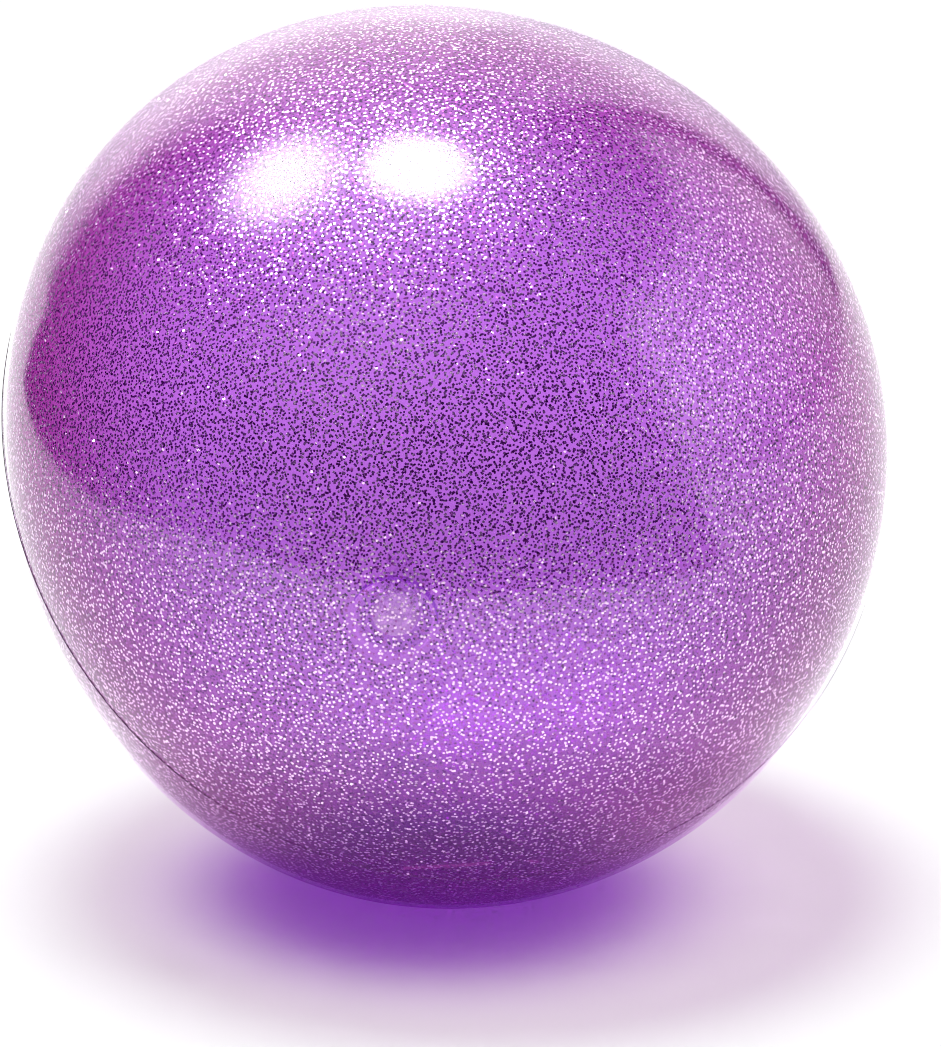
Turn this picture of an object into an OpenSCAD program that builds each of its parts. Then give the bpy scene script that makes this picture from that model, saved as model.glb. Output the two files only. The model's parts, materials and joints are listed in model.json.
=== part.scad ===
// Inflatable moulded play ball with a sunk plug valve, standing on its small flat contact patch.
// Millimetres, +Z up, origin on the floor under the ball's centre. The mould axis lies in the YZ
// plane: one pole faces forward and up, the other faces back and down and carries the valve.

/* [Ball] */
// Outside diameter of the inflated ball
ball_d = 230; // [200:5:300]
// Thickness of the moulded skin
skin_t = 1.0; // [0.8:0.1:1.4]
// Radius of the flat patch that the soft skin rests on
patch_r = 14; // [12:1:18]
// How far the mould's parting line stands proud
bead_h = 0.3; // [0.2:0.1:0.5]
// Angle of the valve pole below level, at the back
axis_drop = 41; // [30:1:50]

/* [Valve] */
// Radius of the dish that sinks the valve into the ball
dish_r = 11; // [10.8:0.1:11.4]
// Depth of the dish at the pole
dish_depth = 5; // [4.8:0.1:6]
// Radius that rounds the lip of the dish
lip_r = 1.5; // [1.5:0.1:2]
// Radius of the valve's bore
bore_r = 4; // [3.5:0.1:4.2]
// Length of the neck below the skin
neck_length = 19; // [18:1:24]
// Length of the stopper's shank
shank_length = 13; // [10:0.5:14]
// Gap between the bore and the stopper, and between each pin and its hole
running_gap = 0.05; // [0.03:0.01:0.08]

/* [Hidden] */
$fn = 96;

// Ball
ball_r = ball_d / 2;
centre_h = sqrt(pow(ball_r, 2) - pow(patch_r, 2));
bead_r = 0.5;
past = 1; // how far a cutting shape runs past the face it cuts

// Heights in the valve are measured along the mould axis from the ball's centre
dish_floor = ball_r - dish_depth;
flange_r = 10.4;
flange_t = 1.0;
flange_top = dish_floor + flange_t;
neck_r = bore_r + 2.2;
neck_end = dish_floor - neck_length;
seat_r = bore_r + 3.6;
seat_t = 2.2;

// Flap: a disc on a cross pin that turns in two ears below the seat
flap_r = bore_r + 2;
flap_t = 0.7;
pin_r = 0.8;
pin_drop = 1.3;
pin_offset = bore_r + 4.2;
knuckle_r = 1.2;
knuckle_w = 3.0;
ear_r = 1.8;
ear_w = 1.6;
ear_gap = 0.15;

// Stopper
head_r = 7.5;
head_t = 1.6;
head_crown = 0.5;
shank_r = bore_r - running_gap;
core_r = shank_r - 0.45;
rib_count = 3;
rib_w = 1.6;
tip_h = 1.5;

// Tether: a half ring that joins a peg on the flange to the stopper's ear
tether_r = 9.2;
tether_w = 1.7;
tether_t = 1.0;
eye_r = 1.55;
peg_r = 0.7;
peg_cap_r = 1.15;
peg_cap_t = 0.6;
tab_t = 0.9;
tab_lift = 0.1;

// Moves a shape drawn along +Z from the ball's centre onto the mould axis, valve pole outward
module on_mould_axis() {
    translate([0, 0, centre_h]) rotate([-(90 + axis_drop), 0, 0]) children();
}

// Right half of a disc about the mould axis
module half_disc(radius) {
    intersection() {
        circle(r = radius);
        translate([0, -radius]) square([radius, 2 * radius]);
    }
}

// Section of the dish: straight wall, flat floor, and a lip that blends into the round shell
module dish_section(shell_r, wall_r, floor_h, round_r) {
    lip_x = wall_r + round_r;
    lip_y = sqrt(pow(shell_r - round_r, 2) - pow(lip_x, 2));
    grow = shell_r / (shell_r - round_r);
    top = shell_r + past;
    difference() {
        polygon([[0, floor_h], [wall_r, floor_h], [wall_r, lip_y], [lip_x, lip_y],
                 [lip_x * grow, lip_y * grow], [lip_x * grow, top], [0, top]]);
        translate([lip_x, lip_y]) circle(r = round_r);
    }
}

// Section of the skin's outside, with its parting bead, its dish and the hole for the neck
module outside_section() {
    difference() {
        union() {
            half_disc(ball_r);
            translate([ball_r + bead_h - bead_r, 0]) circle(r = bead_r);
        }
        dish_section(ball_r, dish_r, dish_floor, lip_r);
        translate([0, dish_floor - skin_t - past])
            square([neck_r + running_gap, skin_t + 2 * past]);
    }
}

// Section of the air space, one skin thickness inside
module inside_section() {
    difference() {
        half_disc(ball_r - skin_t);
        dish_section(ball_r - skin_t, dish_r + skin_t, dish_floor - skin_t, lip_r - skin_t);
    }
}

// Everything below a height, for the flat contact patch
module below(height) {
    translate([-ball_d, -ball_d, height - ball_d]) cube([2 * ball_d, 2 * ball_d, ball_d]);
}

// One-piece moulded skin
module skin() {
    color([0.60, 0.30, 0.80])
    difference() {
        on_mould_axis() rotate_extrude() outside_section();
        below(0);
        difference() {
            on_mould_axis() rotate_extrude() inside_section();
            below(skin_t);
        }
    }
}

// Soft insert: flange bonded in the dish, neck, flap seat with two ears, and the tether's peg
module valve_body() {
    color([0.86, 0.80, 0.92])
    on_mould_axis() difference() {
        union() {
            translate([0, 0, dish_floor]) cylinder(r = flange_r, h = flange_t);
            translate([0, 0, neck_end]) cylinder(r = neck_r, h = neck_length);
            translate([0, 0, neck_end]) cylinder(r = seat_r, h = seat_t);
            flap_ears();
            translate([0, -tether_r, 0]) flange_peg();
        }
        translate([0, 0, neck_end - past]) cylinder(r = bore_r, h = neck_length + 2 * past);
        flap_pin(pin_r + running_gap, past);
    }
}

// Peg with a cap that holds one end of the tether
module flange_peg() {
    stem = tether_t + running_gap;
    translate([0, 0, flange_top]) cylinder(r = peg_r, h = stem);
    translate([0, 0, flange_top + stem]) cylinder(r1 = peg_cap_r, r2 = peg_r, h = peg_cap_t);
}

// Two ears hanging from the seat, one at each side of the flap's knuckle
module flap_ears() {
    for (side = [-1, 1])
        translate([side * (knuckle_w / 2 + ear_gap + ear_w / 2), 0, 0]) {
            translate([-ear_w / 2, -pin_offset, neck_end - pin_drop])
                rotate([0, 90, 0]) cylinder(r = ear_r, h = ear_w);
            translate([-ear_w / 2, -pin_offset - ear_r, neck_end - pin_drop])
                cube([ear_w, 2 * ear_r, pin_drop + seat_t]);
            translate([-ear_w / 2, -pin_offset, neck_end])
                cube([ear_w, pin_offset - bore_r, seat_t]);
        }
}

// The flap's cross pin, or its hole in the ears
module flap_pin(radius, extra) {
    length = knuckle_w + 2 * ear_gap + 2 * ear_w + 2 * extra;
    translate([-length / 2, -pin_offset, neck_end - pin_drop])
        rotate([0, 90, 0]) cylinder(r = radius, h = length);
}

// One-way flap that closes the neck's inner end
module check_flap() {
    color([0.93, 0.90, 0.96])
    on_mould_axis() {
        translate([0, 0, neck_end - flap_t]) cylinder(r = flap_r, h = flap_t);
        translate([-knuckle_w / 2, -pin_offset, neck_end - flap_t])
            cube([knuckle_w, pin_offset - bore_r, flap_t]);
        translate([-knuckle_w / 2, -pin_offset, neck_end - pin_drop])
            rotate([0, 90, 0]) cylinder(r = knuckle_r, h = knuckle_w);
        flap_pin(pin_r, 0);
    }
}

// Push-in stopper: crowned head, ear for the tether, ribbed shank with a tapered tip
module stopper() {
    color([0.95, 0.94, 0.97])
    on_mould_axis() {
        translate([0, 0, flange_top]) stopper_head();
        translate([0, 0, flange_top - shank_length]) {
            cylinder(r1 = core_r - 0.9, r2 = core_r, h = tip_h);
            translate([0, 0, tip_h]) cylinder(r = core_r, h = shank_length - tip_h);
            for (rib = [0 : rib_count - 1])
                translate([0, 0, tip_h + rib * 2 * rib_w])
                    cylinder(r1 = core_r, r2 = shank_r, h = rib_w);
        }
    }
}

// Head with a domed top, and the ear that takes the tether's peg
module stopper_head() {
    dome_r = (pow(head_r, 2) + pow(head_crown, 2)) / (2 * head_crown);
    tab_h = tether_t + tab_lift;
    cylinder(r = head_r, h = head_t);
    translate([0, 0, head_t]) intersection() {
        translate([0, 0, head_crown - dome_r]) sphere(r = dome_r);
        cylinder(r = head_r, h = head_crown);
    }
    difference() {
        union() {
            translate([0, tether_r, tab_h]) cylinder(r = eye_r, h = tab_t);
            translate([-eye_r, 0, tab_h]) cube([2 * eye_r, tether_r, tab_t]);
        }
        translate([0, tether_r, tab_h - past]) cylinder(r = peg_r + running_gap, h = tab_t + 2 * past);
    }
}

// Half-ring tether with an eye at the flange's peg and a peg for the stopper's ear
module tether() {
    color([0.90, 0.86, 0.95])
    on_mould_axis() translate([0, 0, flange_top]) difference() {
        union() {
            rotate([0, 0, -90]) rotate_extrude(angle = 180)
                translate([tether_r - tether_w / 2, 0]) square([tether_w, tether_t]);
            for (side = [-1, 1])
                translate([0, side * tether_r, 0]) cylinder(r = eye_r, h = tether_t);
            translate([0, tether_r, 0]) cylinder(r = peg_r, h = tether_t + tab_lift + tab_t);
        }
        translate([0, -tether_r, -past]) cylinder(r = peg_r + running_gap, h = tether_t + 2 * past);
    }
}

skin();
valve_body();
check_flap();
stopper();
tether();
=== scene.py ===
"""Inflatable moulded play ball with glitter in its skin: the looks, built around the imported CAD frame.

All lengths are metres, in the CAD's own frame. The mould axis runs through the ball's centre to the valve.
"""
import json
import math

import bpy
import numpy as np
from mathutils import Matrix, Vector


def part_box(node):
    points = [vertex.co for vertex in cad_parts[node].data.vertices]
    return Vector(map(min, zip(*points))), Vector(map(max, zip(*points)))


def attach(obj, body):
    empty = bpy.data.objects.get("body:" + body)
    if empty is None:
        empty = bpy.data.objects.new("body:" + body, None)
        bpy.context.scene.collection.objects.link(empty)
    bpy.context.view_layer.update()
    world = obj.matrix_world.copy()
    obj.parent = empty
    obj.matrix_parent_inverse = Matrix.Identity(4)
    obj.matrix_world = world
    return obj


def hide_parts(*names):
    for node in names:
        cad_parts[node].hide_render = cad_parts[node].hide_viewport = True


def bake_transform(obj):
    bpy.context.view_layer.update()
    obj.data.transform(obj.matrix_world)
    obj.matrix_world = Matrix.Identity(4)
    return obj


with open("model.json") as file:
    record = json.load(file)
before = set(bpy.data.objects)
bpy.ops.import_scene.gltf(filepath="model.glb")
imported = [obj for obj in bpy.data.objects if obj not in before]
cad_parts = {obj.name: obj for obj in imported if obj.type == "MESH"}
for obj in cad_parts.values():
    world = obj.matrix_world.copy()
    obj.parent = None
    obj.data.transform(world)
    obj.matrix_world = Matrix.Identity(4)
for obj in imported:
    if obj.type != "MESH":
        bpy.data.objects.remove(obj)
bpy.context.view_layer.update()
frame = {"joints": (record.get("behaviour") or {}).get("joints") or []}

MM = 0.001
SEED = 7

# --- the ball, as the CAD gives it -------------------------------------------------------------
skin_low, skin_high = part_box("skin")
BALL_R = round((skin_high.y - skin_low.y) / 2, 4)
CENTRE = Vector((0, 0, skin_high.z - BALL_R))
AXIS = Vector(frame["joints"][0]["axis"]).normalized()   # out of the ball, through the valve
SIDE = Vector((1, 0, 0))                                  # level, square to the mould axis
CROSS = AXIS.cross(SIDE)
SKIN_T = 1.0 * MM
BEAD_H = 0.3 * MM                                         # the parting line stands proud by this
BEAD_W = 0.35 * MM                                        # and falls off over this

# --- the photograph's view ---------------------------------------------------------------------
VIEW_AZIMUTH = math.radians(-9.5)
VIEW_ELEVATION = math.radians(17)
VIEW_DISTANCE = 1.5
BALL_IN_VIEW = 0.4283        # the ball's radius as a share of the picture's height
BALL_LEFT = 0.0250           # how far the ball's centre lies left of the picture's centre, same unit
BALL_UP = 0.0685             # and above it
SENSOR = 36.0

view_back = Vector((math.sin(VIEW_AZIMUTH) * math.cos(VIEW_ELEVATION),
                    -math.cos(VIEW_AZIMUTH) * math.cos(VIEW_ELEVATION), math.sin(VIEW_ELEVATION)))
view_right = Vector((math.cos(VIEW_AZIMUTH), math.sin(VIEW_AZIMUTH), 0))
view_up = view_back.cross(view_right)


def unit(v):
    return v / np.linalg.norm(v, axis=-1, keepdims=True)


def smooth(x, low, high):
    """0 below low, 1 above high, and a smooth step between."""
    t = np.clip((x - low) / (high - low), 0, 1)
    return t * t * (3 - 2 * t)


def toward(azimuth, elevation):
    """Direction at an azimuth from the camera, right positive, and an elevation, in degrees."""
    a, e = math.radians(azimuth), math.radians(elevation)
    front = Vector((view_back.x, view_back.y, 0)).normalized()
    return (front * math.cos(a) + view_right * math.sin(a)) * math.cos(e) + Vector((0, 0, math.sin(e)))


# --- camera ------------------------------------------------------------------------------------
def make_camera():
    half_angle = math.asin(BALL_R / VIEW_DISTANCE)
    focal = BALL_IN_VIEW / math.tan(half_angle)          # in picture heights
    aim = CENTRE + (view_right * BALL_LEFT - view_up * BALL_UP) * VIEW_DISTANCE / focal
    data = bpy.data.cameras.new("camera")
    data.sensor_fit = "VERTICAL"
    data.sensor_height = SENSOR
    data.lens = focal * SENSOR
    data.clip_end = 50
    cam = bpy.data.objects.new("camera", data)
    cam.location = CENTRE + view_back * VIEW_DISTANCE
    cam.rotation_euler = (cam.location - aim).to_track_quat("Z", "Y").to_euler()
    bpy.context.scene.collection.objects.link(cam)
    bpy.context.scene.camera = cam


# --- the ball's true outline: an inflated ball is never quite round ------------------------------
LOBES = ((2, 0.0200, math.radians(-61.4)), (3, 0.0114, math.radians(17.7)))   # count, height, direction
CALM_NEAR, CALM_FAR = 20 * MM, 55 * MM                   # round the valve the shell stays true


def swell(d):
    """How much further out than BALL_R the shell lies, as a share of it, in each direction d."""
    x, y = d @ np.array(view_right), d @ np.array(view_up)
    across, turn = np.hypot(x, y), np.arctan2(y, x)
    lobes = sum(h * across ** n * np.cos(n * (turn - at)) for n, h, at in LOBES)
    off_axis = np.arccos(np.clip(d @ np.array(AXIS), -1, 1)) * BALL_R
    return lobes * smooth(off_axis, CALM_NEAR, CALM_FAR)


def settle(points, floor):
    """Flattens what would go through the floor, as the soft skin does."""
    points[:, 2] = np.maximum(points[:, 2], floor)
    return points


def to_axis(points):
    """From coordinates about the mould axis (its +Z, from the ball's centre) into the row frame."""
    basis = np.array([SIDE, CROSS, AXIS])
    return np.asarray(points) @ basis + np.array(CENTRE)


# --- mesh helpers ------------------------------------------------------------------------------
def new_object(name, points, faces, material=None, smooth_faces=True):
    mesh = bpy.data.meshes.new(name)
    mesh.from_pydata([tuple(p) for p in points], [], faces)
    mesh.update()
    mesh.polygons.foreach_set("use_smooth", [smooth_faces] * len(mesh.polygons))
    if material:
        mesh.materials.append(material)
    ob = bpy.data.objects.new(name, mesh)
    bpy.context.scene.collection.objects.link(ob)
    return ob


def turned(profile, steps, closed=False):
    """Points and faces of a profile of (radius, height) turned about +Z.

    A closed profile is a ring's section. An open one gets a face at each end.
    """
    angles = np.arange(steps) * 2 * math.pi / steps
    ring = np.stack([np.cos(angles), np.sin(angles)], 1)
    points = np.concatenate([np.column_stack([r * ring, np.full(steps, h)]) for r, h in profile])
    rows = len(profile)
    faces = []
    for k in range(rows if closed else rows - 1):
        a, b = k * steps, (k + 1) % rows * steps
        for i in range(steps):
            j = (i + 1) % steps
            faces.append((a + i, a + j, b + j, b + i))
    if not closed:
        faces.append(tuple(reversed(range(steps))))
        faces.append(tuple(range((rows - 1) * steps, rows * steps)))
    return points, faces


def fillet(corners, steps=4):
    """A line through (x, y, radius) corners with each corner rounded to its radius."""
    line = []
    for k, (x, y, radius) in enumerate(corners):
        here = Vector((x, y))
        if radius == 0:
            line.append((x, y))
            continue
        before = (Vector(corners[k - 1][:2]) - here).normalized()
        after = (Vector(corners[(k + 1) % len(corners)][:2]) - here).normalized()
        half = before.angle(after) / 2
        start, end = here + before * radius / math.tan(half), here + after * radius / math.tan(half)
        middle = here + (before + after).normalized() * radius / math.sin(half)
        one, two = (start - middle).normalized(), (end - middle).normalized()
        for s in range(steps + 1):
            point = middle + one.slerp(two, s / steps) * radius
            line.append((point.x, point.y))
    return line


# --- shader helpers ----------------------------------------------------------------------------
class Graph:
    """Short calls that add nodes to one node tree. A value is a number or an output socket."""

    def __init__(self, tree):
        self.tree = tree
        tree.nodes.clear()

    def add(self, kind, settings=(), **inputs):
        node = self.tree.nodes.new(kind)
        for key, value in dict(settings).items():
            setattr(node, key, value)
        for key, value in inputs.items():
            self.put(node.inputs[key.replace("_", " ")], value)
        return node

    def put(self, socket, value):
        if isinstance(value, bpy.types.NodeSocket):
            self.tree.links.new(value, socket)
        else:
            socket.default_value = value

    def math(self, operation, a, b=0.0):
        node = self.add("ShaderNodeMath", {"operation": operation})
        self.put(node.inputs[0], a)
        self.put(node.inputs[1], b)
        return node.outputs[0]

    def step(self, value, low, high, start=0.0, end=1.0):
        """A smooth step from start at low to end at high."""
        node = self.add("ShaderNodeMapRange", {"interpolation_type": "SMOOTHSTEP"})
        for k, v in enumerate((value, low, high, start, end)):
            self.put(node.inputs[k], v)
        return node.outputs[0]

    def vectors(self, operation, *vectors):
        node = self.add("ShaderNodeVectorMath", {"operation": operation})
        for socket, value in enumerate(vectors):
            self.put(node.inputs[socket], value)
        return node.outputs

    def dot(self, a, b):
        return self.vectors("DOT_PRODUCT", a, b)["Value"]

    def minus(self, a, b):
        return self.vectors("SUBTRACT", a, b)["Vector"]

    def unit(self, a):
        return self.vectors("NORMALIZE", a)["Vector"]

    def mix(self, fac, a, b):
        """One colour turning into another."""
        node = self.add("ShaderNodeMix", {"data_type": "RGBA"})
        for socket, value in ((0, fac), (6, a), (7, b)):
            self.put(node.inputs[socket], value)
        return node.outputs[2]

    def blend(self, fac, a, b):
        """One shader turning into another."""
        node = self.tree.nodes.new("ShaderNodeMixShader")
        for socket, value in enumerate((fac, a, b)):
            self.put(node.inputs[socket], value)
        return node.outputs[0]

    def surface(self, shader):
        self.put(self.add("ShaderNodeOutputMaterial").inputs["Surface"], shader)


def new_material(name):
    material = bpy.data.materials.new(name)
    material.use_nodes = True
    return material, Graph(material.node_tree)


# --- studio ------------------------------------------------------------------------------------
WHITE = (1, 1, 1, 1)
ROOM = (0.062, 0.001, 0.112, 1)         # the dim room that the ball's dark window mirrors
AMBIENT = 0.09               # even light that fills the shadow
DEGREES = 180 / math.pi      # in a radian
PANELS = (                   # azimuth from the camera, half width, highest elevation, edge, light
    (103, 40, 41, 4, 1.6),
    (168, 18, 60, 3, 1.8),
    (195, 24, 60, 8, 2.5),
)
PANEL_FOOT = (0, 18, 0.52)   # elevations between which a panel brightens, from this share of its light
SOFTBOXES = (                # azimuth from the camera, elevation, angular radius, edge, light
    (-130, 86, 9, 6, 38.0),
    (-106, 60, 10, 9, 23.0),
    (-122, 76, 27, 14, 2.5),
    (-30, 52, 24, 18, 0.5),
)
KEY_AZIMUTH, KEY_ELEVATION = -150, 82   # the overhead light
KEY_ANGLE, KEY_LIGHT = 20, 3.4
SHEET = 0.90                 # how bright the white sheet is
SHEET_SIZE = 30.0            # half the sheet's side
SHEET_MIRRORED = (1.30, 1.30, 1.30, 1)  # how the ball mirrors it
SHEET_BELOW_PAINTED_SHADOW = (0.62, 0.36, 0.68, 1)     # and right under the ball a painted violet shadow, as the ball mirrors it
PAINTED_SHADOW_RADII = (0.3, 1.2)     # the painted shadow fades between these distances from the ball's foot, in ball radii
SHEET_THROUGH_PAINTED_SHADE = (0.76, 1.02)            # painted shade: how bright it is seen through the ball, close behind it and far off
THROUGH_RADII = (1.8, 4.2)   # and how far behind those two lie, in ball radii
SHEET_FRONT, SHEET_LEFT = 0.46, 0.60    # the sheet ends this far out, as the ball mirrors it
FLAG_TURN = (-136, 66)       # azimuths between which the dark room past that edge lies
FLAG_OUT = 29.0              # how far out the dark room reaches, nearly to the sheet's end


def make_world():
    world = bpy.data.worlds.new("studio")
    bpy.context.scene.world = world
    world.use_nodes = True
    g = Graph(world.node_tree)
    ray = g.add("ShaderNodeTexCoord").outputs["Generated"]
    path = g.add("ShaderNodeLightPath")
    split = g.add("ShaderNodeSeparateXYZ", Vector=ray)
    elevation = g.math("MULTIPLY", g.math("ARCSINE", split.outputs["Z"]), DEGREES)
    light = 0.0
    for azimuth, half, high, edge, power in PANELS:
        middle, across = toward(azimuth, 0), toward(azimuth + 90, 0)
        turn = g.math("ARCTAN2", g.dot(ray, across), g.dot(ray, middle))
        turn = g.math("MULTIPLY", g.math("ABSOLUTE", turn), DEGREES)
        mask = g.math("MULTIPLY", g.step(turn, half - edge, half + edge, 1, 0),
                      g.step(elevation, high - edge, high + edge, 1, 0))
        mask = g.math("MULTIPLY", mask, g.step(elevation, *PANEL_FOOT, 1))
        light = g.math("MAXIMUM", light, g.math("MULTIPLY", mask, power))
    for azimuth, high, radius, edge, power in SOFTBOXES:
        away = g.math("ARCCOSINE", g.math("MINIMUM", g.dot(ray, toward(azimuth, high)), 1.0))
        away = g.math("MULTIPLY", away, DEGREES)
        light = g.math("MAXIMUM", light, g.step(away, radius - edge, radius + edge, power, 0))
    mirrored = g.add("ShaderNodeAddShader")                 # the key light stands in for all this elsewhere
    g.put(mirrored.inputs[0], g.add("ShaderNodeBackground", Color=ROOM, Strength=1.0).outputs[0])
    g.put(mirrored.inputs[1], g.add("ShaderNodeBackground", Color=WHITE, Strength=light).outputs[0])
    ambient = g.add("ShaderNodeBackground", Color=WHITE, Strength=AMBIENT).outputs[0]
    backdrop = g.add("ShaderNodeBackground", Color=WHITE, Strength=1.0).outputs[0]
    seen = g.blend(path.outputs["Is Glossy Ray"], ambient, mirrored.outputs[0])
    out = g.add("ShaderNodeOutputWorld")
    g.put(out.inputs["Surface"], g.blend(path.outputs["Is Camera Ray"], seen, backdrop))


def make_key():
    """The overhead light that casts the ball's soft violet shadow."""
    data = bpy.data.lights.new("key", "SUN")
    data.energy = KEY_LIGHT
    data.angle = math.radians(KEY_ANGLE)
    key = bpy.data.objects.new("key", data)
    key.rotation_euler = toward(KEY_AZIMUTH, KEY_ELEVATION).to_track_quat("Z", "Y").to_euler()
    key.visible_glossy = False
    bpy.context.scene.collection.objects.link(key)


def make_floor():
    """The white sheet. Its brightness depends on how it is seen: plain, through the ball with painted shade
    behind it, mirrored with a painted violet shadow under it.
    """
    material, g = new_material("white_sheet")
    path = g.add("ShaderNodeLightPath").outputs
    where = g.add("ShaderNodeTexCoord").outputs["Object"]
    forward = g.dot(where, toward(0, 0))
    out = g.math("POWER", g.dot(where, where), 0.5)
    # mirrored, the sheet carries a painted violet shadow under the ball
    mirrored = g.mix(g.step(out, *(r * BALL_R for r in PAINTED_SHADOW_RADII)), SHEET_BELOW_PAINTED_SHADOW, SHEET_MIRRORED)
    # seen through the ball, the sheet close behind it is painted darker
    near, far = THROUGH_RADII
    dim, bright = SHEET_THROUGH_PAINTED_SHADE
    painted_shade_behind = g.step(forward, -far * BALL_R, -near * BALL_R, SHEET * bright, SHEET * dim)
    plain = g.step(path["Transparent Depth"], 0.0, 1.0, SHEET, painted_shade_behind)
    colour = g.mix(path["Is Glossy Ray"], plain, mirrored)
    g.surface(g.add("ShaderNodeBsdfDiffuse", Color=colour).outputs[0])
    corners = [(x * SHEET_SIZE, y * SHEET_SIZE, 0) for x, y in ((-1, -1), (1, -1), (1, 1), (-1, 1))]
    new_object("floor", corners, [(0, 1, 2, 3)], material)


def sheet_edge(turn):
    """How far out the sheet ends at an azimuth: round at the right, squarish at the front left."""
    if turn > 0:
        return SHEET_FRONT
    a = math.radians(turn)
    return (max(math.cos(a) / SHEET_FRONT, 0) ** 4 + (math.sin(a) / SHEET_LEFT) ** 4) ** -0.25


def make_flag():
    """The dark room past the sheet's edge, as a flag that only reflections see."""
    material, g = new_material("black_flag")
    g.surface(g.add("ShaderNodeEmission", Color=ROOM, Strength=1.0).outputs[0])
    steps = 48
    points, faces = [], []
    for k in range(steps + 1):
        turn = FLAG_TURN[0] + (FLAG_TURN[1] - FLAG_TURN[0]) * k / steps
        for reach in (sheet_edge(turn), FLAG_OUT):
            points.append(toward(turn, 0) * reach + Vector((0, 0, 1 * MM)))
    for k in range(steps):
        faces.append((2 * k, 2 * k + 1, 2 * k + 3, 2 * k + 2))
    flag = new_object("flag", points, faces, material)
    for kind in ("camera", "diffuse", "transmission", "shadow", "volume_scatter"):
        setattr(flag, "visible_" + kind, False)


# --- skin --------------------------------------------------------------------------------------
DISH_R, DISH_DEPTH, LIP_R = 11 * MM, 5 * MM, 1.5 * MM
NECK_R = 6.25 * MM
SKIN_TURNS = 288
SKIN_ROWS = 150
LIP_STEPS = 6
BEAD_ROWS = (-1.6, -1.0, -0.6, -0.35, -0.15, 0, 0.15, 0.35, 0.6, 1.0, 1.6)   # mm from the parting line
BEAD_CLEAR = 1.9 * MM        # the even rows keep this far from it
POLE_R = 0.02 * MM


def section(shell_r, wall_r, floor_h, lip_r, bead):
    """Profile of one face of the skin as (radius, height), from the neck's hole to the plain pole."""
    lip_x = wall_r + lip_r
    lip_y = math.sqrt((shell_r - lip_r) ** 2 - lip_x ** 2)
    start = math.atan2(lip_x, lip_y)                      # where the round shell begins
    points = fillet([(NECK_R, floor_h, 0), (wall_r, floor_h, lip_r), (wall_r, lip_y, 0)])
    for k in range(1, LIP_STEPS + 1):
        a = math.pi - k / LIP_STEPS * (math.pi / 2 + start)
        points.append((lip_x + lip_r * math.cos(a), lip_y + lip_r * math.sin(a)))
    equator = math.pi / 2
    rows = [a for a in np.linspace(start, math.pi, SKIN_ROWS)[1:-1]
            if abs(a - equator) * BALL_R > BEAD_CLEAR]
    for a in sorted(rows + [equator + d * MM / BALL_R for d in BEAD_ROWS]):
        rise = bead * math.exp(-((a - equator) * BALL_R / BEAD_W) ** 2)
        points.append(((shell_r + rise) * math.sin(a), (shell_r + rise) * math.cos(a)))
    points.append((POLE_R, -shell_r))
    return points


def shape_shell(points, floor):
    """Puts a turned shell in place: swells it out of round and settles it on its floor."""
    placed = to_axis(points)
    ray = placed - np.array(CENTRE)
    far = np.linalg.norm(ray, axis=1, keepdims=True)
    placed += ray * swell(ray / far)[:, None]
    return settle(placed, floor)


def make_skin(outer_material, inner_material):
    outside = section(BALL_R, DISH_R, BALL_R - DISH_DEPTH, LIP_R, BEAD_H)
    inside = section(BALL_R - SKIN_T, DISH_R + SKIN_T, BALL_R - DISH_DEPTH - SKIN_T, LIP_R - SKIN_T, 0)
    out_points, out_faces = turned(outside, SKIN_TURNS)
    in_points, in_faces = turned(inside, SKIN_TURNS)
    rim = len(out_faces) - 2                              # turned() puts the neck hole's face here
    del out_faces[rim], in_faces[rim]
    count = len(out_points)
    points = np.concatenate([shape_shell(out_points, 0.0), shape_shell(in_points, SKIN_T)])
    faces = [tuple(reversed(f)) for f in out_faces]
    faces += [tuple(i + count for i in f) for f in in_faces]
    for i in range(SKIN_TURNS):                            # the wall of the neck's hole
        j = (i + 1) % SKIN_TURNS
        faces.append((i, j, count + j, count + i))
    skin = new_object("skin_shell", points, faces, outer_material)
    skin.data.materials.append(inner_material)
    slots = np.zeros(len(faces), np.int32)
    slots[len(out_faces):len(out_faces) + len(in_faces)] = 1
    skin.data.polygons.foreach_set("material_index", slots)
    return skin


# --- glitter -----------------------------------------------------------------------------------
FLAKES = 115000
FLAKE_JITTER = 0.38 * MM     # how far flakes stray from even spacing
FLAKE_HALF = 0.42 * MM       # half a square flake's diagonal
FLAKE_THICK = 0.03 * MM
FLAKE_TILT = math.radians(3.5)
LOOSE_SHARE, LOOSE_TILT = 0.10, math.radians(16)         # a few flakes lie askew and flash
DARK_SHARE = 0.26            # flakes of a deeper violet
FLAKE_DEPTH = (0.18 * MM, 0.82 * MM)
FLAKE_SIZES = (0.8, 1.1)     # smallest and largest, as shares of FLAKE_HALF
LIGHT_TONES = 0.5            # how far the other flakes range toward that deep violet
FLAKES_A_PIECE = 40000
OFF_ANY_FLAKE = (0.31, 0.77, 0.55)   # a direction to start a flake's own axes from


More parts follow.
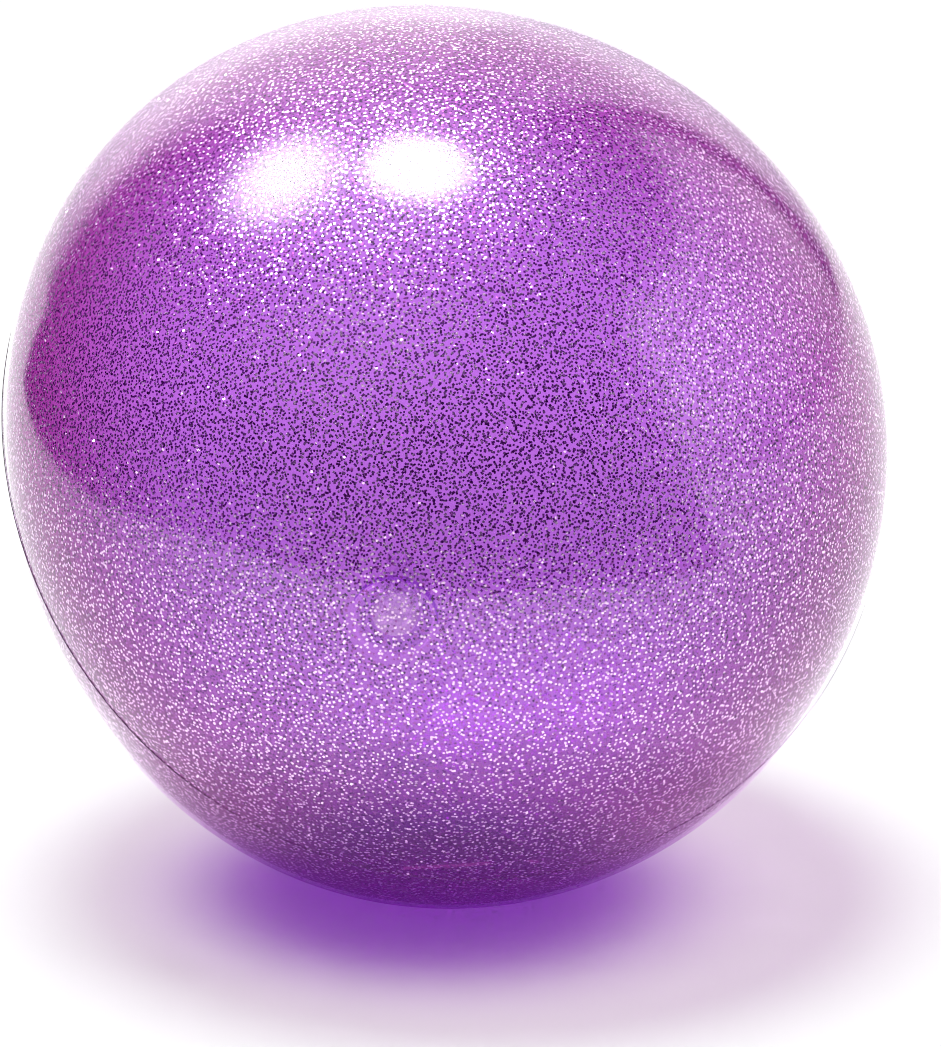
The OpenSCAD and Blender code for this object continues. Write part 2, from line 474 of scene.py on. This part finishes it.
def make_flakes(material):
    """Square film flakes cast into the skin: each a thin closed form of four faces."""
    rng = np.random.default_rng(SEED)
    rank = np.arange(FLAKES)
    height, spin = 1 - (2 * rank + 1) / FLAKES, rank * math.pi * (3 - math.sqrt(5))
    level = np.sqrt(1 - height ** 2)
    d = np.column_stack([level * np.cos(spin), level * np.sin(spin), height])
    d = unit(d + rng.normal(0, FLAKE_JITTER / BALL_R, d.shape))
    off_axis = np.arccos(np.clip(d @ np.array(AXIS), -1, 1)) * BALL_R
    dish = (off_axis > NECK_R + FLAKE_HALF) & (off_axis < DISH_R - FLAKE_HALF)
    kept = dish | (off_axis > DISH_R + LIP_R + FLAKE_HALF)
    d, dish = d[kept], dish[kept]
    count = len(d)
    depth = rng.uniform(*FLAKE_DEPTH, size=count)
    turn = rng.uniform(0, 2 * math.pi, count)
    half = FLAKE_HALF * rng.uniform(*FLAKE_SIZES, count)
    tilt = rng.normal(0, 1, (count, 2)) * np.where(rng.uniform(size=(count, 1)) < LOOSE_SHARE,
                                                   LOOSE_TILT, FLAKE_TILT)
    shade = rng.uniform(0, 1, count)
    shade = np.where(rng.uniform(0, 1, count) < DARK_SHARE, 1.0, LIGHT_TONES * shade)

    far = BALL_R * (1 + swell(d)) - depth
    middle = np.array(CENTRE) + d * far[:, None]
    middle[dish] += np.outer(BALL_R - DISH_DEPTH - depth[dish] - far[dish] * (d[dish] @ np.array(AXIS)), AXIS)
    flat = middle[:, 2] < depth
    middle[flat, 2] = depth[flat]
    normal = np.where(dish[:, None], np.array(AXIS), d)
    normal = np.where(flat[:, None], np.array([0, 0, -1.0]), normal)
    one = unit(np.cross(normal, np.array(OFF_ANY_FLAKE)))
    two = np.cross(normal, one)
    normal = unit(normal + one * tilt[:, :1] + two * tilt[:, 1:])
    first = np.cos(turn)[:, None] * one + np.sin(turn)[:, None] * two
    first = unit(first - normal * (first * normal).sum(1, keepdims=True))
    second = np.cross(normal, first)
    lift = normal * FLAKE_THICK / 2
    half = half[:, None]
    corners = np.stack([middle + first * half + lift, middle - first * half + lift,
                        middle + second * half - lift, middle - second * half - lift], 1)
    return [flake_piece(f"glitter_{k + 1}", corners[start:start + FLAKES_A_PIECE],
                        shade[start:start + FLAKES_A_PIECE], material)
            for k, start in enumerate(range(0, count, FLAKES_A_PIECE))]


def flake_piece(name, corners, shade, material):
    """One mesh of flakes from the four corners and the tone of each."""
    count = len(corners)
    pattern = np.array([(0, 2, 1), (0, 1, 3), (2, 0, 3), (2, 3, 1)])
    faces = (pattern[None] + 4 * np.arange(count)[:, None, None]).reshape(-1, 3)
    mesh = bpy.data.meshes.new(name)
    mesh.vertices.add(4 * count)
    mesh.vertices.foreach_set("co", corners.reshape(-1))
    mesh.loops.add(faces.size)
    mesh.loops.foreach_set("vertex_index", faces.reshape(-1))
    mesh.polygons.add(len(faces))
    mesh.polygons.foreach_set("loop_start", np.arange(len(faces)) * 3)
    mesh.polygons.foreach_set("use_smooth", [False] * len(faces))
    mesh.update(calc_edges=True)
    tone = mesh.attributes.new("tone", "FLOAT", "POINT")
    tone.data.foreach_set("value", np.repeat(shade, 4).astype(np.float32))
    mesh.materials.append(material)
    flakes = bpy.data.objects.new(name, mesh)
    bpy.context.scene.collection.objects.link(flakes)
    return flakes


# --- valve: drawn in millimetres about the mould axis, heights from the ball's centre ------------
TURNS = 96
DISH_FLOOR = (BALL_R - DISH_DEPTH) / MM
FLANGE_TOP = DISH_FLOOR + 1.0
NECK_END = DISH_FLOOR - 19.0
BORE, NECK, SEAT, SEAT_T, FLANGE = 4.0, 6.2, 7.6, 2.2, 10.4
CLEAR = 0.02                 # keeps faces that touch in the real part from lying in one plane
SHARP_ANGLE = math.radians(38)
CORE = 0.01                  # radius of the tiny end face that closes a turned solid on its axis
PIN_Y, PIN_Z, PIN_R, PIN_HALF = -8.2, NECK_END - 1.3, 0.8, 3.25
EAR_R, EAR_T, EAR_ROOT = 1.8, 1.6, -4.6   # an ear's round end, its thickness, and how far in it reaches
TETHER_R, EYE_R, PEG_R, PEG_HOLE = 9.2, 1.55, 0.7, 0.75


def moved(shape, x=0.0, y=0.0, z=0.0):
    points, faces = shape
    return np.asarray(points) + (x, y, z), faces


def plate(outline, low, high):
    """A flat outline of (x, y), anticlockwise, as a closed slab from low to high along Z."""
    n = len(outline)
    points = [(x, y, low) for x, y in outline] + [(x, y, high) for x, y in outline]
    faces = [tuple(reversed(range(n))), tuple(range(n, 2 * n))]
    faces += [(i, (i + 1) % n, n + (i + 1) % n, n + i) for i in range(n)]
    return np.array(points), faces


def rod(radius, low, high, edge=0.0, steps=48):
    """A closed round rod along Z with rounded rims."""
    corners = [(CORE, low, 0), (radius, low, edge), (radius, high, edge), (CORE, high, 0)]
    return turned(fillet(corners), steps)


def along_x(shape):
    """Turns a shape drawn along Z so that it lies along X."""
    points, faces = shape
    return np.stack([points[:, 2], points[:, 1], -points[:, 0]], 1), faces


def upright(shape):
    """Stands up a slab whose outline was drawn in (y, z), so that its thickness runs along X."""
    points, faces = shape
    return np.stack([points[:, 2], points[:, 0], points[:, 1]], 1), faces


def fuse(name, shapes, cuts, material):
    """One closed mesh from shapes that overlap, less the cuts, moved onto the mould axis."""
    scene = bpy.context.scene.collection
    whole = new_object(name, *shapes[0])
    for operation, tools in (("UNION", shapes[1:]), ("DIFFERENCE", cuts)):
        for shape in tools:
            tool = new_object("tool", *shape)
            step = whole.modifiers.new("step", "BOOLEAN")
            step.operation, step.object, step.solver = operation, tool, "EXACT"
            evaluated = whole.evaluated_get(bpy.context.evaluated_depsgraph_get())
            result = bpy.data.meshes.new_from_object(evaluated)
            whole.modifiers.clear()
            whole.data = result
            bpy.data.objects.remove(tool)
    mesh = whole.data
    mesh.name = name
    points = np.empty(len(mesh.vertices) * 3)
    mesh.vertices.foreach_get("co", points)
    mesh.vertices.foreach_set("co", to_axis(points.reshape(-1, 3) * MM).reshape(-1))
    mesh.polygons.foreach_set("use_smooth", [True] * len(mesh.polygons))
    mesh.set_sharp_from_angle(angle=SHARP_ANGLE)
    mesh.materials.clear()
    mesh.materials.append(material)
    mesh.update()
    return whole


def make_valve_body(material):
    """Soft insert: flange, neck with a flared bore, seat, two ears for the flap's pin, and a peg."""
    ring = turned(fillet([(BORE, NECK_END, 0.25), (SEAT, NECK_END, 0.3), (SEAT, NECK_END + SEAT_T, 0.4),
                          (NECK, NECK_END + SEAT_T, 0.5), (NECK, DISH_FLOOR + CLEAR, 0.0),
                          (FLANGE, DISH_FLOOR + CLEAR, 0.1), (FLANGE, FLANGE_TOP - CLEAR, 0.4),
                          (BORE, FLANGE_TOP - CLEAR, 0.35)]), TURNS, closed=True)
    round_end = [(PIN_Y - EAR_R * math.cos(a), PIN_Z - EAR_R * math.sin(a))
                 for a in np.linspace(0, math.pi, 17)[1:-1]]
    ear = [(PIN_Y - EAR_R, NECK_END + SEAT_T), (PIN_Y - EAR_R, PIN_Z)] + round_end
    ear += [(PIN_Y + EAR_R, PIN_Z), (PIN_Y + EAR_R, NECK_END)]
    ear += [(EAR_ROOT, NECK_END), (EAR_ROOT, NECK_END + SEAT_T)]
    ears = [upright(plate(ear, low, low + EAR_T)) for low in (-PIN_HALF, PIN_HALF - EAR_T)]
    stem_low, stem_top = FLANGE_TOP - 0.4, FLANGE_TOP + 1.05
    peg = turned(fillet([(CORE, stem_low, 0), (PEG_R, stem_low, 0), (PEG_R, stem_top, 0.1),
                         (1.15, stem_top, 0.12), (PEG_R, stem_top + 0.6, 0.2),
                         (CORE, stem_top + 0.6, 0)]), 32)
    hole = moved(along_x(rod(PIN_R + 0.05, -5, 5)), 0, PIN_Y, PIN_Z)
    return fuse("valve_insert", [ring] + ears + [moved(peg, 0, -TETHER_R)], [hole], material)


def make_flap(material):
    """One-way flap: a disc with a stiffening ring, an arm, a knuckle and its cross pin."""
    top, low = NECK_END - CLEAR, NECK_END - 0.7
    disc = turned(fillet([(CORE, low, 0), (3.0, low, 0.1), (3.25, low - 0.3, 0.1), (3.75, low - 0.3, 0.1),
                          (4.0, low, 0.1), (6.0, low, 0.25), (6.0, top, 0.15), (CORE, top, 0)]), TURNS)
    arm = plate([(-1.5, PIN_Y), (1.5, PIN_Y), (1.5, -4.0), (-1.5, -4.0)], low, top)
    knuckle = moved(along_x(rod(1.2, -1.5, 1.5, 0.12)), 0, PIN_Y, PIN_Z)
    pin = moved(along_x(rod(PIN_R, -PIN_HALF, PIN_HALF, 0.12)), 0, PIN_Y, PIN_Z)
    return fuse("flap_film", [disc, arm, knuckle, pin], [], material)


def make_stopper(material):
    """Push-in stopper: ribbed shank with a tapered tip, domed head with a ring groove, and an ear."""
    shank_low, tip = FLANGE_TOP - 13.0, 1.5
    shank, rib, rib_pitch = 3.5, 3.93, 3.2
    head, head_side, head_rise = 7.5, 1.6, 0.5
    corners = [(CORE, shank_low, 0), (2.6, shank_low, 0.3), (shank, shank_low + tip, 0.0)]
    for k in range(3):
        low = shank_low + tip + rib_pitch * k
        corners += [(shank, low + 0.01, 0.0), (rib, low + 1.6, 0.1), (shank, low + 1.75, 0.05)]
    corners += [(shank, FLANGE_TOP, 0.3), (head, FLANGE_TOP, 0.2), (head, FLANGE_TOP + head_side, 0.5)]
    dome_r = (head ** 2 + head_rise ** 2) / (2 * head_rise)
    crown = FLANGE_TOP + head_side + head_rise
    for radius, sunk in ((6.2, 0), (5.4, 0), (5.2, 0.18), (4.7, 0.18), (4.5, 0), (3.4, 0), (2.2, 0),
                         (1.2, 0), (0.9, 0.15), (0.4, 0.2)):    # a ring groove, and a dimple at the middle
        corners.append((radius, crown - radius ** 2 / (2 * dome_r) - sunk, 0.0))
    corners.append((CORE, crown - 0.2, 0))
    round_end = [(EYE_R * math.cos(a), TETHER_R + EYE_R * math.sin(a)) for a in np.linspace(0, math.pi, 25)]
    ear = plate([(-EYE_R, 5.6), (EYE_R, 5.6)] + round_end, FLANGE_TOP + 1.1, FLANGE_TOP + 2.0)
    hole = moved(rod(PEG_HOLE, FLANGE_TOP, FLANGE_TOP + 4), 0, TETHER_R)
    return fuse("stopper_plug", [turned(fillet(corners), TURNS), ear], [hole], material)


def make_tether(material):
    """Half ring with an eye at the flange's peg, and at its far end a peg through the stopper's ear."""
    low, high, half = FLANGE_TOP, FLANGE_TOP + 1.0, 0.85
    outline = fillet([(TETHER_R - half, low, 0.25), (TETHER_R + half, low, 0.25),
                      (TETHER_R + half, high, 0.25), (TETHER_R - half, high, 0.25)], 3)
    steps, n = 72, len(outline)
    start, end = -math.pi / 2 + 0.125, math.pi / 2 - 0.05     # inside the eye's wall, and inside the boss
    points, faces = [], []
    for k in range(steps + 1):
        a = start + (end - start) * k / steps
        points += [(r * math.cos(a), r * math.sin(a), h) for r, h in outline]
    for k in range(steps):
        here, after = k * n, (k + 1) * n
        faces += [(here + i, after + i, after + (i + 1) % n, here + (i + 1) % n) for i in range(n)]
    faces += [tuple(range(n)), tuple(reversed(range(steps * n, (steps + 1) * n)))]
    band = (np.array(points), faces)
    below, above = low + 2 * CLEAR, high - 2 * CLEAR
    eye = turned(fillet([(PEG_HOLE, below, 0.1), (EYE_R, below, 0.2),
                         (EYE_R, above, 0.2), (PEG_HOLE, above, 0.1)]), 48, closed=True)
    boss = rod(EYE_R, below, above, 0.2)
    peg_top = high + 1.02
    peg = turned(fillet([(CORE, low + 0.3, 0), (PEG_R, low + 0.3, 0), (PEG_R, peg_top, 0.1),
                         (1.1, peg_top, 0.1), (0.75, peg_top + 0.45, 0.2), (CORE, peg_top + 0.45, 0)]), 32)
    shapes = [band, moved(eye, 0, -TETHER_R), moved(boss, 0, TETHER_R), moved(peg, 0, TETHER_R)]
    return fuse("tether_strap", shapes, [], material)


# --- materials ---------------------------------------------------------------------------------
VIOLET_CLEAR = (0.785, 0.43, 0.96, 1)
VIOLET_SLANT = (0.66, 0.21, 0.61, 1)    # the same seen aslant, through more of the skin
PAINTED_SHADOW_VIOLET = (0.48, 0.10, 0.72, 1)    # painted shadow: the colour that light crossing the skin to the floor takes, for the shadow's dark core
PAINTED_SHADOW_PALE_LEFT = (1.14, 1.09, 1.12, 1)      # and where it crosses aslant, at the ball's left: the painted shadow's pale part, above one so it adds light
PAINTED_SHADOW_PALE_RIGHT = (1.10, 1.02, 1.09, 1)     # and the painted shadow's pale part at its right, also above one
PAINTED_SHADOW_FACING = (0.05, 0.28)             # how aslant the painted shadow's core ends and its pale part begins
PAINTED_SHADOW_CORE_LEFT = 0.12                        # how far left the painted shadow's core is shifted, in ball radii
PAINTED_SHADE_INNER = (0.42, 0.18, 0.50, 1)    # painted shade: the darker colour that mirrored light crossing the hollow ball takes
VIOLET_BODY = (0.52, 0.20, 0.64, 1)     # the haze in the skin, which is clouded between these two
VIOLET_DEEP = (0.46, 0.15, 0.58, 1)
LINE_CLEAR = (0.40, 0.22, 0.42, 1)      # what the dark parting line lets through
LINE_OUTER = (0.22, 0.16, 0.22, 1)      # and how it tints the gloss
LINE_STRONG = (-0.74, -0.50)            # it fades between these places along SIDE, in ball radii
LINE_FAINT = 0.07                       # how strong the parting line is away from its dark stretch
LINE_HALF = (0.20 * MM, 0.50 * MM)      # half width of the dark parting line, full and faded
THIN_ANGLES = (math.radians(6), math.radians(8))        # round the valve the skin is no darker aslant
HAZE = 0.07                  # share of light that the haze catches
HEAD_ON = 0.04               # share of light that the gloss mirrors when seen head on
GLOSS_CLEAR = (0.98, 0.96, 0.99, 1)     # what the outer face lets through
GLOSS_ROUGH = 0.12
FLAKE_PALE = (1.0, 0.76, 1.0, 1)        # the film's tones, from the palest flakes to the deep violet ones
FLAKE_DEEP = (0.28, 0.06, 0.33, 1)
FLAKE_ROUGH = 0.30


def schlick(g, bump):
    """The share of light that a clear surface mirrors, by Schlick's rule. Shadow rays lose none."""
    facing = g.add("ShaderNodeLayerWeight", Blend=0.5, Normal=bump).outputs["Facing"]
    share = g.math("ADD", HEAD_ON, g.math("MULTIPLY", 1 - HEAD_ON, g.math("POWER", facing, 5.0)))
    seen = g.math("SUBTRACT", 1.0, g.add("ShaderNodeLightPath").outputs["Is Shadow Ray"])
    return g.math("MULTIPLY", share, seen)


def parting_line(g, where):
    """1 on the mould's parting line along its dark stretch at the ball's left, faint on the rest of it, and 0
    away from it.
    """
    height = g.math("SUBTRACT", g.dot(where, AXIS), CENTRE.dot(AXIS))
    line = g.step(g.math("ABSOLUTE", height), *LINE_HALF, 1, 0)
    strength = g.step(g.dot(where, SIDE), *(r * BALL_R for r in LINE_STRONG), 1, LINE_FAINT)
    return g.math("MULTIPLY", line, strength)


def gloss_material():
    """The skin's outer face: a clear glossy surface with the slight waviness of a moulding."""
    material, g = new_material("skin_gloss")
    where = g.add("ShaderNodeTexCoord").outputs["Object"]
    wave = g.add("ShaderNodeTexNoise", Vector=where, Scale=70.0, Detail=2.0).outputs["Fac"]
    bump = g.add("ShaderNodeBump", Height=wave, Strength=0.25, Distance=0.0004).outputs["Normal"]
    line = parting_line(g, where)
    clear = g.add("ShaderNodeBsdfTransparent", Color=g.mix(line, GLOSS_CLEAR, LINE_OUTER)).outputs[0]
    mirrored = g.mix(line, WHITE, LINE_OUTER)
    gloss = g.add("ShaderNodeBsdfGlossy", Color=mirrored, Roughness=GLOSS_ROUGH, Normal=bump)
    g.surface(g.blend(schlick(g, bump), clear, gloss.outputs[0]))
    return material


def body_material():
    """The skin's inner face: violet see-through PVC with a little haze, dark along the parting line, and
    painted shade for all rays but the camera's.
    """
    material, g = new_material("skin_violet")
    where = g.add("ShaderNodeTexCoord").outputs["Object"]
    line = parting_line(g, where)
    facing = g.add("ShaderNodeLayerWeight", Blend=0.5).outputs["Facing"]
    path = g.add("ShaderNodeLightPath").outputs
    lighting = g.math("SUBTRACT", 1.0, path["Is Camera Ray"])
    from_axis = g.math("ARCCOSINE", g.dot(g.unit(g.minus(where, CENTRE)), AXIS))
    aslant = g.math("MULTIPLY", g.step(facing, 0.1, 0.75), g.step(from_axis, *THIN_ANGLES))
    violet = g.mix(aslant, VIOLET_CLEAR, VIOLET_SLANT)
    # painted shadow: all rays but the camera's see a colour that shapes the floor's violet shadow, dark head
    # on, pale aslant, with its core shifted left
    right = g.math("DIVIDE", g.dot(where, SIDE), BALL_R)
    painted_shadow_slant = g.math("ADD", facing, g.math("MULTIPLY", right, PAINTED_SHADOW_CORE_LEFT))
    painted_shadow_pale = g.mix(g.step(right, -1.0, 1.0), PAINTED_SHADOW_PALE_LEFT, PAINTED_SHADOW_PALE_RIGHT)
    shade = g.mix(g.step(painted_shadow_slant, *PAINTED_SHADOW_FACING), PAINTED_SHADOW_VIOLET, painted_shadow_pale)
    # painted shade: mirrored rays that cross the skin take a darker violet than the camera sees
    shade = g.mix(path["Is Glossy Ray"], shade, PAINTED_SHADE_INNER)
    violet = g.mix(lighting, violet, shade)
    clear = g.add("ShaderNodeBsdfTransparent", Color=g.mix(line, violet, LINE_CLEAR)).outputs[0]
    cloud = g.add("ShaderNodeTexNoise", Vector=where, Scale=22.0, Detail=3.0).outputs["Fac"]
    deep = g.mix(cloud, VIOLET_BODY, VIOLET_DEEP)
    lit = g.add("ShaderNodeBsdfDiffuse", Color=deep).outputs[0]
    through = g.add("ShaderNodeBsdfTranslucent", Color=deep).outputs[0]
    g.surface(g.blend(HAZE, clear, g.blend(0.5, lit, through)))
    return material


def flake_material():
    """Metallised film, from pale pink to deep violet by each flake's own tone."""
    material, g = new_material("glitter_film")
    tone = g.add("ShaderNodeAttribute", {"attribute_name": "tone"}).outputs["Fac"]
    colour = g.mix(tone, FLAKE_PALE, FLAKE_DEEP)
    film = g.add("ShaderNodeBsdfPrincipled", Base_Color=colour, Metallic=1.0, Roughness=FLAKE_ROUGH)
    g.surface(film.outputs[0])
    return material


def soft_material(name, clear, body, clearness, roughness):
    """Soft violet PVC that lets light through, clouded, with a fine moulded grain and a gloss."""
    material, g = new_material(name)
    where = g.add("ShaderNodeTexCoord").outputs["Object"]
    cloud = g.add("ShaderNodeTexNoise", Vector=where, Scale=260.0, Detail=3.0).outputs["Fac"]
    grain = g.add("ShaderNodeTexNoise", Vector=where, Scale=1800.0, Detail=2.0).outputs["Fac"]
    bump = g.add("ShaderNodeBump", Height=grain, Strength=0.25, Distance=0.00005).outputs["Normal"]
    colour = g.mix(cloud, (*body, 1), (*(0.8 * c for c in body), 1))
    lit = g.add("ShaderNodeBsdfDiffuse", Color=colour, Normal=bump).outputs[0]
    through = g.add("ShaderNodeBsdfTranslucent", Color=colour).outputs[0]
    window = g.add("ShaderNodeBsdfTransparent", Color=(*clear, 1)).outputs[0]
    inside = g.blend(clearness, g.blend(0.6, lit, through), window)
    gloss = g.add("ShaderNodeBsdfGlossy", Color=WHITE, Roughness=roughness, Normal=bump).outputs[0]
    g.surface(g.blend(schlick(g, bump), inside, gloss))
    return material


# --- the scene ---------------------------------------------------------------------------------
make_camera()
make_world()
make_key()
make_floor()
make_flag()

skin_shell = make_skin(gloss_material(), body_material())
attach(skin_shell, "root")
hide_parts("skin")

for flakes in make_flakes(flake_material()):
    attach(flakes, "root")

insert_violet = soft_material("insert_violet", (0.99, 0.97, 1.0), (0.80, 0.58, 0.95), 0.95, 0.25)
plug_violet = soft_material("plug_violet", (0.985, 0.96, 0.995), (0.78, 0.54, 0.94), 0.94, 0.20)
film_violet = soft_material("film_violet", (0.99, 0.98, 1.0), (0.82, 0.62, 0.95), 0.97, 0.15)
insert = make_valve_body(insert_violet)
flap = make_flap(film_violet)
plug = make_stopper(plug_violet)
strap = make_tether(insert_violet)
for piece, body, node, slot in ((insert, "root", "valve_body", "valve_insert"),
                                (flap, "check_flap", "check_flap", "flap_film"),
                                (plug, "stopper", "stopper", "stopper_plug")):
    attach(piece, body)
    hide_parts(node)
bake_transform(strap)
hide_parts("tether")

scene = bpy.context.scene
scene.cycles.max_bounces = 7
scene.cycles.diffuse_bounces = 3
scene.cycles.glossy_bounces = 3
scene.cycles.transparent_max_bounces = 24
scene.cycles.filter_width = 1.0
scene.view_settings.view_transform = "Standard"
bpy.context.view_layer.update()
